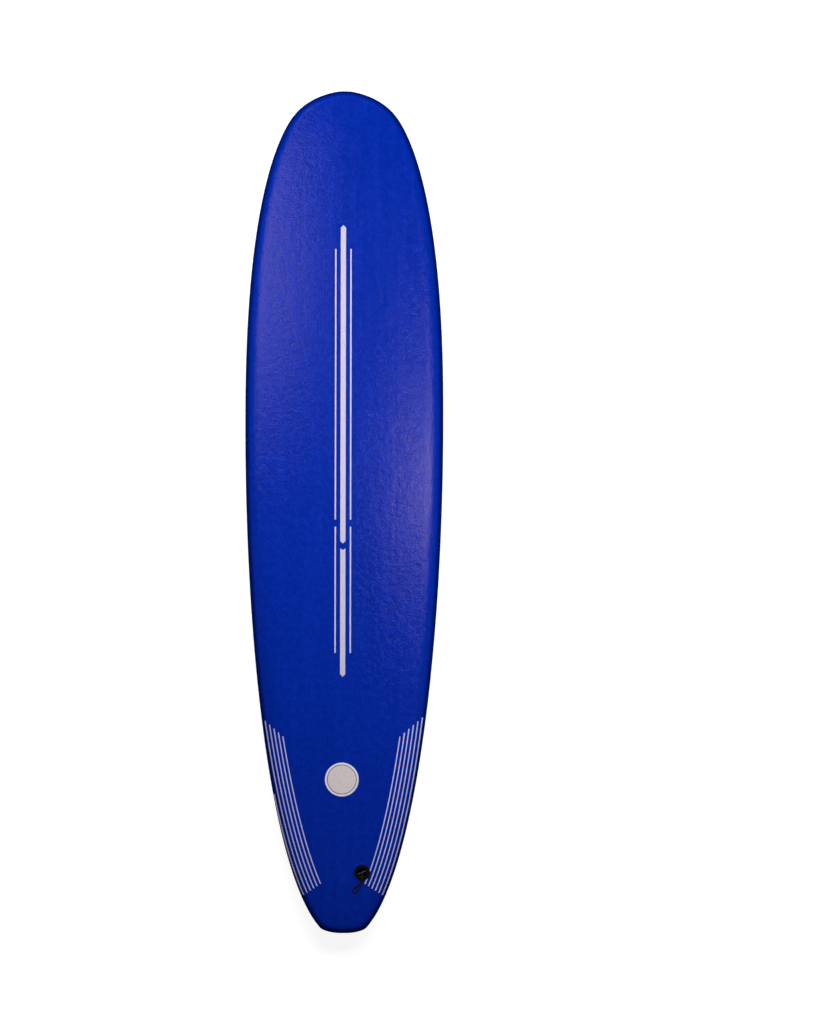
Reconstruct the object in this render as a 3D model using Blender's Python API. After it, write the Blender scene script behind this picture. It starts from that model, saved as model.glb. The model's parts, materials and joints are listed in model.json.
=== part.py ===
# Soft-top surfboard: a foam blank glued up round three stringers, a soft deck skin that wraps the
# rails, a band under the edge, a slick bottom on a foam backing, three fin boxes and a leash plug
# with its string.
#
# Metres, +Z up. The board lies on its bottom, deck up, nose toward -Y, tail toward +Y, the same on
# both sides of X = 0. Z = 0 is the flat of the bottom and Y = 0 is half way along. Standing on the
# deck and looking at the nose, -X is the right-hand side.

import math

import bmesh
import bpy
from mathutils import Matrix, Vector
from mathutils.bvhtree import BVHTree

# Outline
LENGTH = 2.438
WIDTH = 0.5755
WIDE_POINT_FROM_NOSE = 0.950

# Each end of the outline is a superellipse from the wide point, which would close a little beyond
# the tip, and a rounded cap that closes it at the tip.
NOSE_CURVE_POWER = 2.306
NOSE_FULLNESS = 2.715
NOSE_OVERRUN = 0.0017
NOSE_CAP_LENGTH = 0.118
NOSE_CAP_POWER = 4.0
TAIL_CURVE_POWER = 2.02
TAIL_FULLNESS = 2.12
TAIL_OVERRUN = 0.0189
TAIL_CAP_LENGTH = 0.0172
TAIL_CAP_POWER = 2.48

# Rocker: the bottom is flat in the middle and lifts toward both tips.
FLAT_AHEAD_OF_MIDDLE = 0.15
FLAT_BEHIND_MIDDLE = 0.20
NOSE_LIFT = 0.115
NOSE_LIFT_POWER = 2.4
TAIL_LIFT = 0.052
TAIL_LIFT_POWER = 2.2

# Thickness, and the section across the middle of the board
THICKNESS = 0.083
NOSE_THICKNESS = 0.036
TAIL_THICKNESS = 0.038
FOIL_POWER = 3.2
EDGE_HEIGHT = 0.031
DECK_CROWN = 0.016
RAIL_RUN = 0.052
TUCK_RUN = 0.020

# Layers
CLEARANCE = 0.0003
SKIN_THICKNESS = 0.005
SLICK_THICKNESS = 0.0012
SEAM_DROP = 0.004
SEAM_GAP = 0.0005
BAND_WIDTH = 0.0135
STRINGER_THICKNESS = 0.004
STRINGER_SPACING = 0.110

# Fin boxes
FIN_FLANGE_LENGTH = 0.155
FIN_FLANGE_WIDTH = 0.039
FIN_FLANGE_CORNER = 0.009
FIN_FLANGE_THICKNESS = 0.0026
FIN_FLANGE_PROUD = 0.0005
FIN_EDGE_CHAMFER = 0.0006
FIN_TUB_LENGTH = 0.122
FIN_TUB_WIDTH = 0.026
FIN_TUB_DEPTH = 0.019
FIN_TUB_DRAFT = 0.0008
FIN_SLOT_LENGTH = 0.028
FIN_SLOT_WIDTH = 0.0072
FIN_SLOT_DEPTH = 0.0145
FIN_SLOT_SPACING = 0.070
CENTRE_FIN_FROM_TAIL = 0.247
SIDE_FIN_FROM_TAIL = 0.465
SIDE_FIN_FROM_EDGE = 0.0557
SIDE_FIN_TOE_IN = math.radians(1.5)

# Grub screws that pinch the fin tabs
GRUB_DIAMETER = 0.0046
GRUB_LENGTH = 0.0060
GRUB_SUNK = 0.0008
GRUB_TILT = math.radians(20.0)
GRUB_OFFSET = 0.0093
GRUB_SOCKET_DEPTH = 0.0024
GRUB_BREAKOUT = 0.004
POCKET_BREAKOUT = 0.006

# Leash plug
PLUG_FROM_TAIL = 0.177
PLUG_FROM_STRINGER = 0.055
PLUG_TURN = math.radians(24.0)
PLUG_FLANGE_DIAMETER = 0.046
PLUG_FLANGE_THICKNESS = 0.0032
PLUG_FLANGE_PROUD = 0.0016
PLUG_BARREL_DIAMETER = 0.034
PLUG_DEPTH = 0.024
PLUG_BORE_DIAMETER = 0.026
PLUG_FLOOR = 0.0035
PLUG_LIP = 0.0015
PLUG_RIDGE = 0.0012
PLUG_BAR_DIAMETER = 0.004
PLUG_BAR_DROP = 0.0045
PLUG_BAR_SOCKET = 0.0028

# Leash string
STRING_DIAMETER = 0.0035
STRING_POINT_SPACING = 0.0032
# Points of its loop, in millimetres from the middle of the plug: toward the left rail, toward the
# tail, and up from the deck. It starts under the bar, leaves over the rim, lies on the deck in a
# loop and comes back beside itself.
STRING_ROUTE = [
    (-2.2, -3.0, -9.3), (-2.2, 0.0, -9.3), (-2.2, 3.7, -8.3), (-2.1, 6.5, -5.6),
    (-2.0, 9.8, 0.1), (-2.0, 11.4, 2.1), (-2.0, 13.6, 3.4), (-1.9, 16.3, 3.8),
    (-1.7, 21.5, 3.8), (-1.2, 25.0, 3.4), (0.2, 29.2, 2.6), (2.6, 33.6, 2.2),
    (5.5, 38.4, 2.2), (11.7, 49.0, 2.2), (14.2, 53.4, 2.2), (16.2, 55.6, 2.2),
    (18.7, 56.8, 2.2), (21.4, 56.9, 2.2), (24.0, 55.9, 2.2), (26.1, 54.0, 2.2),
    (27.2, 51.4, 2.2), (27.2, 48.6, 2.2), (26.0, 46.0, 2.2), (23.9, 44.0, 2.2),
    (19.8, 41.4, 2.2), (11.5, 36.3, 2.2), (8.2, 33.6, 2.2), (5.9, 30.8, 2.3),
    (4.5, 27.7, 2.9), (3.7, 24.4, 3.5), (3.2, 21.0, 3.8), (2.6, 16.3, 3.8),
    (2.5, 13.6, 3.4), (2.4, 11.4, 2.1), (2.3, 9.8, 0.1), (2.2, 6.5, -5.6),
    (2.2, 3.7, -8.3), (2.2, 0.0, -9.3), (2.2, -3.0, -9.3),
]

# Fineness of the facets
OUTLINE_STEPS = 36
OUTLINE_SAMPLES = 1500
TURN_WEIGHT = 1.2
SPINE_SHARE = 0.12
SPINE_POWER = 6
TANGENT_STEP = 1e-3
RAIL_ANGLES = [90.0, 67.0, 46.0, 28.0, 13.0, 0.0]
DECK_SHARES = [1.0, 0.55, 0.22]
BOTTOM_SHARES = [0.45, 1.0]
CORNER_STEPS = 4
ROUND_STEPS = 24
GRUB_STEPS = 10

HALF_LENGTH = LENGTH / 2


# Outline, seen from above

def end_share(distance, reach, power, fullness, overrun, cap_length, cap_power):
    """Half width at a distance from a tip, as a share of the widest half width."""
    t = 1.0 - (distance + overrun) / (reach + overrun)
    share = (1.0 - max(t, 0.0) ** power) ** (1.0 / fullness)
    if distance < cap_length:
        cap = 1.0 - distance / cap_length
        share *= max(1.0 - cap ** cap_power, 0.0) ** (1.0 / cap_power)
    return share


def half_width(y):
    from_nose = y + HALF_LENGTH
    if from_nose < WIDE_POINT_FROM_NOSE:
        share = end_share(from_nose, WIDE_POINT_FROM_NOSE, NOSE_CURVE_POWER, NOSE_FULLNESS,
                          NOSE_OVERRUN, NOSE_CAP_LENGTH, NOSE_CAP_POWER)
    else:
        share = end_share(LENGTH - from_nose, LENGTH - WIDE_POINT_FROM_NOSE, TAIL_CURVE_POWER,
                          TAIL_FULLNESS, TAIL_OVERRUN, TAIL_CAP_LENGTH, TAIL_CAP_POWER)
    return WIDTH / 2 * share


def outline():
    """Points of the left edge from nose to tail, spread evenly over its length plus its turning."""
    fine = []
    for k in range(OUTLINE_SAMPLES + 1):
        y = -HALF_LENGTH * math.cos(math.pi * k / OUTLINE_SAMPLES)
        inside = 0 < k < OUTLINE_SAMPLES
        fine.append(Vector((half_width(y) if inside else 0.0, y)))
    run = [0.0]
    turn = [0.0]
    heading = Vector((1.0, 0.0))
    for a, b in zip(fine, fine[1:]):
        step = b - a
        run.append(run[-1] + step.length)
        turn.append(turn[-1] + abs(heading.angle(step, 0.0)))
        heading = step
    progress = [r / run[-1] + TURN_WEIGHT * t / turn[-1] for r, t in zip(run, turn)]
    points = []
    k = 0
    for i in range(OUTLINE_STEPS + 1):
        wanted = progress[-1] * i / OUTLINE_STEPS
        while k < OUTLINE_SAMPLES - 1 and progress[k + 1] < wanted:
            k += 1
        share = (wanted - progress[k]) / (progress[k + 1] - progress[k])
        points.append(fine[k].lerp(fine[k + 1], min(max(share, 0.0), 1.0)))
    return points


# Rocker, foil and section

def rocker(y):
    """Height of the bottom at its centreline."""
    if y < -FLAT_AHEAD_OF_MIDDLE:
        run = (-y - FLAT_AHEAD_OF_MIDDLE) / (HALF_LENGTH - FLAT_AHEAD_OF_MIDDLE)
        return NOSE_LIFT * run ** NOSE_LIFT_POWER
    if y > FLAT_BEHIND_MIDDLE:
        run = (y - FLAT_BEHIND_MIDDLE) / (HALF_LENGTH - FLAT_BEHIND_MIDDLE)
        return TAIL_LIFT * run ** TAIL_LIFT_POWER
    return 0.0


def foil(y):
    """Thickness at a station as a share of the thickness in the middle."""
    end = NOSE_THICKNESS if y < 0 else TAIL_THICKNESS
    return 1.0 - (1.0 - end / THICKNESS) * abs(y / HALF_LENGTH) ** FOIL_POWER


def spine_station(y):
    """The centreline station that a point of the outline is joined to: straight across in the
    middle of the board, fanned out round each tip."""
    return y * (1.0 - SPINE_SHARE * abs(y / HALF_LENGTH) ** SPINE_POWER)


def tuck_angle(depth, height):
    return math.asin(min(depth / height, 1.0))


def stations(edge_y):
    """The section's points from the middle of the deck round the rail to the middle of the bottom.
    Each is (region, value): a share of the way in from the rail, or an angle round it."""
    height = EDGE_HEIGHT * foil(edge_y)
    seam = tuck_angle(SEAM_DROP, height)
    band_end = math.acos(1.0 - BAND_WIDTH / TUCK_RUN)

    def past(angle):
        return angle + SEAM_GAP / math.hypot(TUCK_RUN * math.sin(angle), height * math.cos(angle))

    top = [("deck", share) for share in DECK_SHARES]
    top += [("rail", math.radians(angle)) for angle in RAIL_ANGLES]
    under = [seam, past(seam), (past(seam) + band_end) / 2, band_end, past(band_end)]
    under += [math.pi / 2]
    return top + [("tuck", angle) for angle in under] + [("bottom", s) for s in BOTTOM_SHARES]


# Places of the seams in the list of stations
SKIN_END = len(DECK_SHARES) + len(RAIL_ANGLES)
BAND_START = SKIN_END + 1
BAND_END = SKIN_END + 3
SLICK_START = SKIN_END + 4
LAST = SLICK_START + 1 + len(BOTTOM_SHARES)


def section_point(edge, station):
    """Point of the outer surface on the line from an outline point to its spine station."""
    region, value = station
    spine = Vector((0.0, spine_station(edge.y)))
    reach = (spine - edge).length
    rail_run = RAIL_RUN * foil(edge.y)
    if region == "deck":
        inset = rail_run + value * (reach - rail_run)
    elif region == "rail":
        inset = rail_run * (1.0 - math.cos(value))
    elif region == "tuck":
        inset = TUCK_RUN * (1.0 - math.cos(value))
    else:
        inset = TUCK_RUN + value * (reach - TUCK_RUN)
    place = edge.lerp(spine, inset / reach)
    if region in ("deck", "rail"):
        rise = 1.0 if region == "deck" else math.sin(value)
        crown = 1.0 - (1.0 - inset / reach) ** 2
        height = EDGE_HEIGHT + (THICKNESS - EDGE_HEIGHT - DECK_CROWN) * rise + DECK_CROWN * crown
    else:
        drop = 1.0 if region == "bottom" else math.sin(value)
        height = EDGE_HEIGHT * (1.0 - drop)
    return Vector((place.x, place.y, rocker(place.y) + foil(place.y) * height))


def section_tangent(edge, station):
    """Direction of the section's curve at a station."""
    region, value = station
    ahead = section_point(edge, (region, value + TANGENT_STEP))
    return ahead - section_point(edge, (region, value - TANGENT_STEP))


# The surface as a grid of rings round the board, one for each station of the section

def ring_index(station, i):
    """The spine's points are shared by both sides, all others go once round."""
    if station in (0, LAST):
        return min(i % (2 * OUTLINE_STEPS), 2 * OUTLINE_STEPS - i % (2 * OUTLINE_STEPS))
    return i % (2 * OUTLINE_STEPS)


def surface_rings():
    """The points of each ring, and the section's tangent at each of them."""
    rings = [[] for _ in range(LAST + 1)]
    tangents = [[] for _ in range(LAST + 1)]
    for edge in outline():
        for number, station in enumerate(stations(edge.y)):
            rings[number].append(section_point(edge, station))
            tangents[number].append(section_tangent(edge, station))
    mirror = Vector((-1.0, 1.0, 1.0))
    for number in range(1, LAST):
        for rows in (rings, tangents):
            rows[number] += [p * mirror for p in reversed(rows[number][1:-1])]
    return rings, tangents


def strip_faces(bm, outer, inner, outer_station, inner_station):
    """Triangles between two neighbouring rings. The diagonals lean toward the nearer tip, the same
    way on both sides, so that none of them runs along the spine."""
    for i in range(2 * OUTLINE_STEPS):
        a = outer[ring_index(outer_station, i)]
        b = outer[ring_index(outer_station, i + 1)]
        c = inner[ring_index(inner_station, i + 1)]
        d = inner[ring_index(inner_station, i)]
        from_a = (i % OUTLINE_STEPS < OUTLINE_STEPS / 2) != (inner_station == LAST)
        for corners in ((a, d, c), (a, c, b)) if from_a else ((a, d, b), (b, d, c)):
            bm.faces.new(corners)


def surface_normals(rings, tangents):
    """Outward normals square to the section and to the ring, and the surface as a search tree."""
    bm = bmesh.new()
    verts = [[bm.verts.new(p) for p in ring] for ring in rings]
    for number in range(LAST):
        strip_faces(bm, verts[number], verts[number + 1], number, number + 1)
    bmesh.ops.recalc_face_normals(bm, faces=bm.faces)
    bm.normal_update()
    normals = [[vert.normal.copy() for vert in ring] for ring in verts]
    tree = BVHTree.FromBMesh(bm)
    bm.free()
    for number in range(1, LAST):
        ring = rings[number]
        for i, facet_normal in enumerate(normals[number]):
            along = ring[(i + 1) % len(ring)] - ring[i - 1]
            normal = along.cross(tangents[number][i]).normalized()
            normals[number][i] = normal if normal.dot(facet_normal) > 0 else -normal
    return normals, tree


def layer(rings, normals, first, last, outer_depth, inner_depth, skip=()):
    """A closed sheet between two stations and two depths under the surface. With no inner depth it
    is solid."""
    bm = bmesh.new()
    used = [n for n in range(first, last + 1) if n not in skip]
    sides = []
    for depth in (outer_depth,) if inner_depth is None else (outer_depth, inner_depth):
        sides.append({n: [bm.verts.new(p - normal * depth) for p, normal
                          in zip(rings[n], normals[n])] for n in used})
    for side in sides:
        for a, b in zip(used, used[1:]):
            strip_faces(bm, side[a], side[b], a, b)
    if inner_depth is not None:
        for n in (first, last):
            if n not in (0, LAST):
                strip_faces(bm, sides[0][n], sides[1][n], n, n)
    bmesh.ops.recalc_face_normals(bm, faces=bm.faces)
    return bm


def slice_between(bm, low, high):
    """The part of a closed mesh between two planes across X, with its cut faces filled."""
    piece = bm.copy()
    for place, normal in ((low, (-1.0, 0.0, 0.0)), (high, (1.0, 0.0, 0.0))):
        if place is None:
            continue
        cut = bmesh.ops.bisect_plane(piece, geom=piece.verts[:] + piece.edges[:] + piece.faces[:],
                                     dist=1e-7, plane_co=(place, 0.0, 0.0), plane_no=normal,
                                     clear_outer=True)
        edges = [item for item in cut["geom_cut"] if isinstance(item, bmesh.types.BMEdge)]
        bmesh.ops.holes_fill(piece, edges=edges, sides=0)
    bmesh.ops.recalc_face_normals(piece, faces=piece.faces)
    return piece


# Objects and materials

def clear_scene():
    for item in list(bpy.data.objects):
        bpy.data.objects.remove(item, do_unlink=True)


def finish_material(item, colour, roughness, metallic=0.0):
    material = bpy.data.materials.new(item.name + "_finish")
    material.use_nodes = True
    shader = material.node_tree.nodes["Principled BSDF"]
    shader.inputs["Base Color"].default_value = (*colour, 1.0)
    shader.inputs["Roughness"].default_value = roughness
    shader.inputs["Metallic"].default_value = metallic
    material.diffuse_color = (*colour, 1.0)
    item.data.materials.append(material)


def add_object(name, bm, board, place=None, smooth=30.0):
    mesh = bpy.data.meshes.new(name)
    bm.to_mesh(mesh)
    bm.free()
    mesh.shade_smooth()
    mesh.set_sharp_from_angle(angle=math.radians(smooth))
    item = bpy.data.objects.new(name, mesh)
    bpy.context.scene.collection.objects.link(item)
    item.parent = board
    if place is not None:
        item.matrix_world = place
    return item


def add_cutter(name, bm, board, place):
    item = add_object(name, bm, board, place)
    item.hide_render = True
    item.display_type = "WIRE"
    return item


def cut(item, cutter):
    boolean = item.modifiers.new("cut_by_" + cutter.name, "BOOLEAN")
    boolean.operation = "DIFFERENCE"
    boolean.solver = "EXACT"
    boolean.object = cutter


# Places on the skin

def surface_height(tree, x, y, up):
    start = Vector((x, y, 1.0 if up else -1.0))
    return tree.ray_cast(start, Vector((0.0, 0.0, -1.0 if up else 1.0)))[0]


def surface_frame(tree, x, y, up, half_across, half_along, turn):
    """Matrix whose Z leaves the surface at a place, with Y toward the tail, turned about Z."""
    across = (surface_height(tree, x + half_across, y, up)
              - surface_height(tree, x - half_across, y, up))
    along = surface_height(tree, x, y + half_along, up) - surface_height(tree, x, y - half_along, up)
    z_axis = across.cross(along).normalized()
    if not up:
        z_axis.negate()
    y_axis = along.normalized()
    x_axis = y_axis.cross(z_axis)
    frame = Matrix((x_axis, y_axis, z_axis)).transposed().to_4x4()
    frame.translation = surface_height(tree, x, y, up)
    return frame @ Matrix.Rotation(turn, 4, "Z")


# Shapes for the hardware

def loft(rings):
    """Closed solid through rings of equal point count, capped at both ends."""
    bm = bmesh.new()
    rows = [[bm.verts.new(p) for p in ring] for ring in rings]
    for a, b in zip(rows, rows[1:]):
        for i in range(len(a)):
            k = (i + 1) % len(a)
            bm.faces.new((a[i], a[k], b[k], b[i]))
    bm.faces.new(rows[0])
    bm.faces.new(rows[-1])
    bmesh.ops.recalc_face_normals(bm, faces=bm.faces)
    return bm


def rounded_bar(length, width, corner, z, y=0.0):
    """Rounded rectangle, long way along Y, as a ring of points at a height."""
    corner = min(corner, 0.49 * width, 0.49 * length)
    ring = []
    for quarter, (sx, sy) in enumerate(((1, 1), (-1, 1), (-1, -1), (1, -1))):
        for step in range(CORNER_STEPS + 1):
            angle = math.radians(90.0 * (quarter + step / CORNER_STEPS))
            ring.append(Vector((sx * (width / 2 - corner) + corner * math.cos(angle),
                                y + sy * (length / 2 - corner) + corner * math.sin(angle), z)))
    return ring


def turned(profile):
    """Solid of revolution about Z from a profile of (radius, height) that starts and ends on it."""
    bm = bmesh.new()
    verts = [bm.verts.new((radius, 0.0, height)) for radius, height in profile]
    edges = [bm.edges.new(pair) for pair in zip(verts, verts[1:])]
    bmesh.ops.spin(bm, geom=verts + edges, cent=(0, 0, 0), axis=(0, 0, 1), angle=math.tau,
                   steps=ROUND_STEPS, use_merge=True)
    bmesh.ops.remove_doubles(bm, verts=bm.verts, dist=1e-6)
    bmesh.ops.recalc_face_normals(bm, faces=bm.faces)
    return bm


# The soft and laminated parts

def make_blank(rings, normals, board):
    """The foam core, sawn into four strips by the three stringers that are glued into it."""
    seams = (SKIN_END + 1, SLICK_START)
    core = layer(rings, normals, 0, LAST, SKIN_THICKNESS + CLEARANCE, None, seams)
    half = STRINGER_THICKNESS / 2
    inner_low = half + CLEARANCE
    inner_high = STRINGER_SPACING - half - CLEARANCE
    outer_low = STRINGER_SPACING + half + CLEARANCE
    strips = {
        "eps_blank_right_outer": (None, -outer_low),
        "eps_blank_right_inner": (-inner_high, -inner_low),
        "eps_blank_left_inner": (inner_low, inner_high),
        "eps_blank_left_outer": (outer_low, None),
    }
    made = {}
    for name, (low, high) in strips.items():
        made[name] = add_object(name, slice_between(core, low, high), board)
        finish_material(made[name], (0.90, 0.90, 0.88), 0.85)
    for name, x in (("stringer_right", -STRINGER_SPACING), ("stringer_centre", 0.0),
                    ("stringer_left", STRINGER_SPACING)):
        made[name] = add_object(name, slice_between(core, x - half, x + half), board)
        finish_material(made[name], (0.62, 0.44, 0.25), 0.6)
    core.free()
    return made


def make_skins(rings, normals, board):
    """Deck skin, edge band, backing and slick: sheets that follow the same surface."""
    skin = add_object("deck_skin", layer(rings, normals, 0, SKIN_END, 0.0, SKIN_THICKNESS), board)
    finish_material(skin, (0.02, 0.06, 0.42), 0.55)
    band = add_object("rail_band", layer(rings, normals, BAND_START, BAND_END, 0.0,
                                         SKIN_THICKNESS), board)
    finish_material(band, (0.012, 0.06, 0.16), 0.5)
    slick = add_object("bottom_slick", layer(rings, normals, SLICK_START, LAST, 0.0,
                                             SLICK_THICKNESS), board)
    finish_material(slick, (0.80, 0.80, 0.03), 0.3)
    backing = add_object("bottom_backing", layer(rings, normals, SLICK_START, LAST,
                                                 SLICK_THICKNESS + CLEARANCE, SKIN_THICKNESS),
                         board)
    finish_material(backing, (0.85, 0.85, 0.85), 0.8)
    return {"deck_skin": skin, "rail_band": band, "bottom_slick": slick, "bottom_backing": backing}


# Fin boxes

def fin_box_body(grow, reach):
    """Flange and tub of a fin box, its face FIN_FLANGE_PROUD above the slick. The pocket for it is
    the same shape, grown all round and reaching out past the slick."""
    face = FIN_FLANGE_PROUD + reach
    seat = FIN_FLANGE_PROUD - FIN_FLANGE_THICKNESS - grow
    floor = -FIN_TUB_DEPTH - grow
    length = FIN_FLANGE_LENGTH + 2 * grow
    width = FIN_FLANGE_WIDTH + 2 * grow
    corner = FIN_FLANGE_CORNER + grow
    tub_length = FIN_TUB_LENGTH + 2 * grow
    tub_width = FIN_TUB_WIDTH + 2 * grow
    edge = FIN_EDGE_CHAMFER
    draft = 2 * FIN_TUB_DRAFT
    return loft([
        rounded_bar(length - 2 * edge, width - 2 * edge, corner - edge, face),
        rounded_bar(length, width, corner, face - edge),
        rounded_bar(length, width, corner, seat),
        rounded_bar(tub_length, tub_width, tub_width / 2, seat),
        rounded_bar(tub_length - draft, tub_width - draft, tub_width / 2, floor),
    ])


def fin_slots():
    """The two tab slots of a fin box, as one cutter."""
    bm = bmesh.new()
    for y in (-FIN_SLOT_SPACING / 2, FIN_SLOT_SPACING / 2):
        slot = loft([rounded_bar(FIN_SLOT_LENGTH, FIN_SLOT_WIDTH, FIN_SLOT_WIDTH / 2, z, y)
                     for z in (FIN_FLANGE_PROUD + FIN_FLANGE_THICKNESS, -FIN_SLOT_DEPTH)])
        append(bm, slot)
    return bm


def append(bm, other):
    """Adds another mesh's geometry and frees it."""
    mesh = bpy.data.meshes.new("scratch")
    other.to_mesh(mesh)
    other.free()
    bm.from_mesh(mesh)
    bpy.data.meshes.remove(mesh)


def grub_place(y):
    """Axis of a grub screw: its mouth beside the slot, its tip leaning in toward the tab."""
    mouth = Matrix.Translation((GRUB_OFFSET, y, FIN_FLANGE_PROUD))
    return mouth @ Matrix.Rotation(GRUB_TILT, 4, "Y")


def grub_shape(radius, top, length, socket):
    bm = bmesh.new()
    bmesh.ops.create_cone(bm, cap_ends=True, segments=GRUB_STEPS, radius1=radius, radius2=radius,
                          depth=length, matrix=Matrix.Translation((0, 0, top - length / 2)))
    if socket:
        lid = max(bm.faces, key=lambda face: face.calc_center_median().z)
        bmesh.ops.inset_region(bm, faces=[lid], thickness=radius * 0.45, use_even_offset=True)
        bmesh.ops.translate(bm, verts=lid.verts, vec=(0, 0, -socket))
    return bm


def grub_holes():
    """Both screws' holes, as one cutter that comes out past the face of the box."""
    bm = bmesh.new()
    for y in (-FIN_SLOT_SPACING / 2, FIN_SLOT_SPACING / 2):
        hole = grub_shape(GRUB_DIAMETER / 2 + CLEARANCE, GRUB_BREAKOUT,
                          GRUB_BREAKOUT + GRUB_SUNK + GRUB_LENGTH + CLEARANCE, 0.0)
        bmesh.ops.transform(hole, matrix=grub_place(y), verts=hole.verts)
        append(bm, hole)
    return bm


def make_fin_box(name, tree, board, x, from_tail, toe):
    """A fin box with its two screws. Returns the cutter of its pocket."""
    y = HALF_LENGTH - from_tail
    place = surface_frame(tree, x, y, False, FIN_TUB_WIDTH / 2, FIN_TUB_LENGTH / 3, toe)
    box = add_object("fin_box_" + name, fin_box_body(0.0, 0.0), board, place)
    finish_material(box, (0.88, 0.88, 0.87), 0.35)
    cut(box, add_cutter("slots_" + name, fin_slots(), board, place))
    cut(box, add_cutter("screw_holes_" + name, grub_holes(), board, place))
    for end, along in (("front", -FIN_SLOT_SPACING / 2), ("rear", FIN_SLOT_SPACING / 2)):
        screw = add_object("fin_screw_" + name + "_" + end,
                           grub_shape(GRUB_DIAMETER / 2, -GRUB_SUNK, GRUB_LENGTH,
                                      GRUB_SOCKET_DEPTH), board, place @ grub_place(along))
        finish_material(screw, (0.55, 0.55, 0.56), 0.3, 1.0)
    return add_cutter("pocket_" + name, fin_box_body(CLEARANCE, POCKET_BREAKOUT), board, place)


# Leash plug and string

def plug_profile():
    """Half section of the cup: ridged barrel, flange, rounded mouth and bore."""
    barrel = PLUG_BARREL_DIAMETER / 2
    flange = PLUG_FLANGE_DIAMETER / 2
    bore = PLUG_BORE_DIAMETER / 2
    rim = PLUG_FLANGE_PROUD
    seat = rim - PLUG_FLANGE_THICKNESS
    ridge = PLUG_RIDGE
    low = -PLUG_DEPTH
    floor = low + PLUG_FLOOR
    middle = (seat + low) / 2
    return [
        (0.0, low), (barrel - ridge, low), (barrel, low + ridge), (barrel, low + 3 * ridge),
        (barrel - ridge, low + 4 * ridge), (barrel - ridge, middle - ridge), (barrel, middle),
        (barrel, seat), (flange, seat), (flange, rim - ridge), (flange - ridge, rim),
        (bore + PLUG_LIP, rim), (bore, rim - PLUG_LIP), (bore, floor + ridge),
        (bore - ridge, floor), (0.0, floor),
    ]


def plug_pocket_profile():
    """The hole for the cup: plain barrel and flange, grown by the clearance."""
    barrel = PLUG_BARREL_DIAMETER / 2 + CLEARANCE
    flange = PLUG_FLANGE_DIAMETER / 2 + CLEARANCE
    seat = PLUG_FLANGE_PROUD - PLUG_FLANGE_THICKNESS - CLEARANCE
    low = -PLUG_DEPTH - CLEARANCE
    return [(0.0, low), (barrel, low), (barrel, seat), (flange, seat), (flange, 0.02), (0.0, 0.02)]


def plug_bar(grow):
    length = PLUG_BORE_DIAMETER + 2 * PLUG_BAR_SOCKET + 2 * grow
    radius = PLUG_BAR_DIAMETER / 2 + grow
    lie = Matrix.Translation((0, 0, -PLUG_BAR_DROP)) @ Matrix.Rotation(math.pi / 2, 4, "Y")
    bm = bmesh.new()
    bmesh.ops.create_cone(bm, cap_ends=True, segments=ROUND_STEPS // 2, radius1=radius,
                          radius2=radius, depth=length, matrix=lie)
    return bm


def make_leash_plug(tree, board):
    place = surface_frame(tree, -PLUG_FROM_STRINGER, HALF_LENGTH - PLUG_FROM_TAIL, True,
                          PLUG_FLANGE_DIAMETER / 2, PLUG_FLANGE_DIAMETER / 2, PLUG_TURN)
    cup = add_object("leash_plug_cup", turned(plug_profile()), board, place)
    finish_material(cup, (0.02, 0.02, 0.022), 0.4)
    bar = add_object("leash_plug_bar", plug_bar(0.0), board, place)
    finish_material(bar, (0.62, 0.62, 0.64), 0.25, 1.0)
    cut(cup, add_cutter("bar_sockets", plug_bar(CLEARANCE), board, place))
    return add_cutter("plug_pocket", turned(plug_pocket_profile()), board, place)


def smooth_through(points, spacing):
    """Points at an even spacing along a Catmull-Rom curve through the given ones."""
    padded = [2 * points[0] - points[1]] + points + [2 * points[-1] - points[-2]]
    fine = []
    for a, b, c, d in zip(padded, padded[1:], padded[2:], padded[3:]):
        for step in range(12):
            t = step / 12
            fine.append(0.5 * (2 * b + (c - a) * t + (2 * a - 5 * b + 4 * c - d) * t ** 2
                               + (3 * b - a - 3 * c + d) * t ** 3))
    fine.append(points[-1])
    run = [0.0]
    for a, b in zip(fine, fine[1:]):
        run.append(run[-1] + (b - a).length)
    count = max(2, round(run[-1] / spacing))
    chosen = []
    k = 0
    for i in range(count + 1):
        wanted = run[-1] * i / count
        while k < len(run) - 2 and run[k + 1] < wanted:
            k += 1
        chosen.append(fine[k].lerp(fine[k + 1], (wanted - run[k]) / (run[k + 1] - run[k])))
    return chosen


def make_string(tree, board):
    """The loop of cord that the leash is tied to, lying on the deck behind the plug."""
    points = []
    for left, back, up in STRING_ROUTE:
        x = -PLUG_FROM_STRINGER + left / 1000
        y = HALF_LENGTH - PLUG_FROM_TAIL + back / 1000
        points.append(surface_height(tree, x, y, True) + Vector((0, 0, up / 1000)))
    curve = bpy.data.curves.new("leash_string", "CURVE")
    curve.dimensions = "3D"
    curve.bevel_depth = STRING_DIAMETER / 2
    curve.bevel_resolution = 2
    curve.use_fill_caps = True
    places = smooth_through(points, STRING_POINT_SPACING)
    spline = curve.splines.new("POLY")
    spline.points.add(len(places) - 1)
    for point, place in zip(spline.points, places):
        point.co = (*place, 1.0)
    item = bpy.data.objects.new("leash_string", curve)
    bpy.context.scene.collection.objects.link(item)
    item.parent = board
    finish_material(item, (0.015, 0.015, 0.016), 0.8)


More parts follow.
